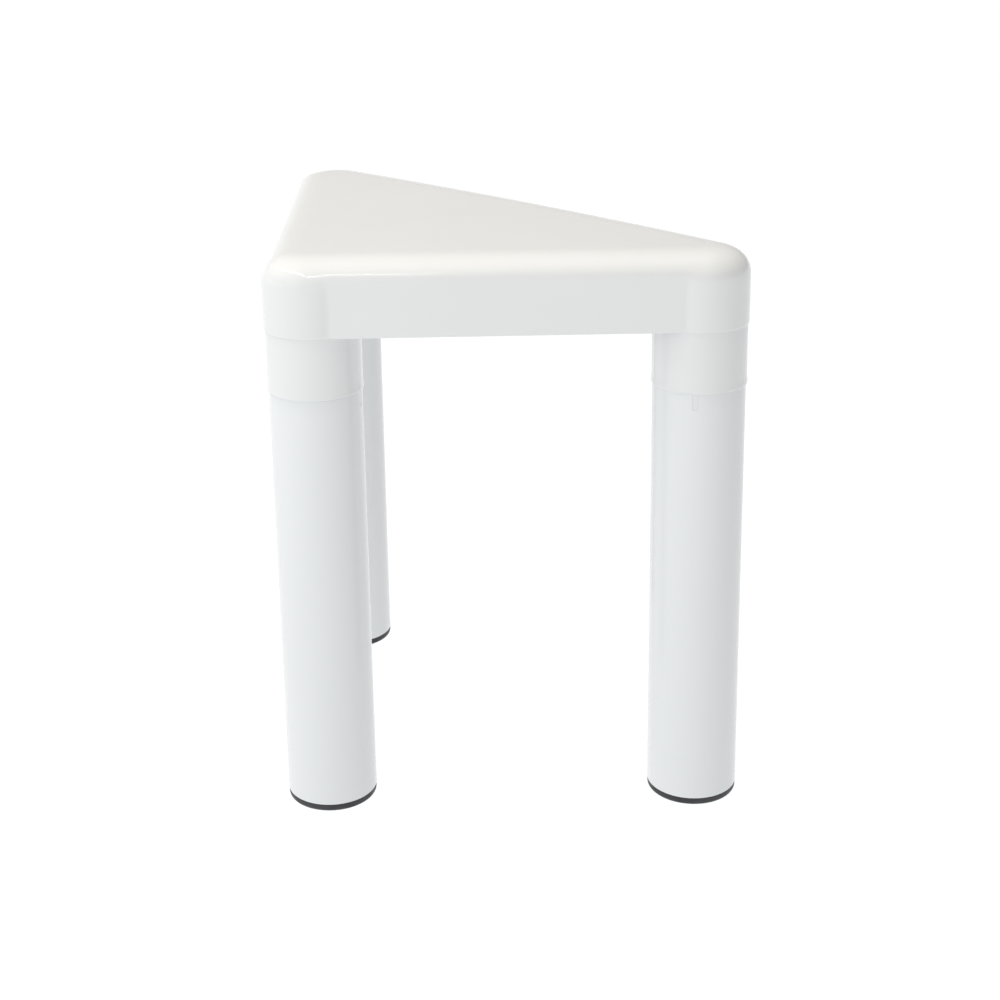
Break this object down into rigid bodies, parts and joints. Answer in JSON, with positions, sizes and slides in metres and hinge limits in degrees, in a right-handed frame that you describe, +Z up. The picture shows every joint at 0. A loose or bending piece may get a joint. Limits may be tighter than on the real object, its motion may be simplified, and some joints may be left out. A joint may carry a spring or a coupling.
{
  "type": "shower stool",
  "caption": "Corner shower stool: moulded right-triangle seat with a rounded apron, screwed-in leg sockets and push-fit tube legs on rubber feet.",
  "frame": {"origin": "on the floor, at the centre of the stool's square footprint, which is under the middle of the long side's chord", "axes": "+Z up; the right-angled corner of the seat points to -X -Y, so the two short sides face -X and -Y and the long, slightly bowed side faces +X +Y"},
  "size_m": [0.35, 0.35, 0.432],
  "materials": {
    "seat_plastic": "warm white moulded polypropylene, smooth gloss",
    "socket_plastic": "white moulded polypropylene, gloss",
    "leg_plastic": "cool white extruded uPVC, gloss",
    "foot_rubber": "dark grey non-slip rubber, satin",
    "stainless": "stainless steel, plain"
  },
  "bodies": {
    "corner_leg": {"leg_tube_corner": "leg_plastic", "rubber_foot_corner": "foot_rubber"},
    "seat": {"seat_shell": "seat_plastic", "socket_corner": "socket_plastic", "socket_right": "socket_plastic", "socket_back": "socket_plastic", "fixing_screw_corner": "stainless", "fixing_screw_right": "stainless", "fixing_screw_back": "stainless", "washer_corner": "stainless", "washer_right": "stainless", "washer_back": "stainless"},
    "right_leg": {"leg_tube_right": "leg_plastic", "rubber_foot_right": "foot_rubber"},
    "back_leg": {"leg_tube_back": "leg_plastic", "rubber_foot_back": "foot_rubber"}
  },
  "joints": [
    {"name": "seat_lift", "type": "slide", "parent": "corner_leg", "child": "seat", "axis": [0, 0, 1], "range_m": [0, 0.055]},
    {"name": "leg_right_pull", "type": "slide", "parent": "seat", "child": "right_leg", "axis": [0, 0, -1], "range_m": [0, 0.055]},
    {"name": "leg_back_pull", "type": "slide", "parent": "seat", "child": "back_leg", "axis": [0, 0, -1], "range_m": [0, 0.055]}
  ],
  "couplings": [
    {"joint": "leg_right_pull", "follows": "seat_lift", "ratio": 1},
    {"joint": "leg_back_pull", "follows": "seat_lift", "ratio": 1}
  ]
}
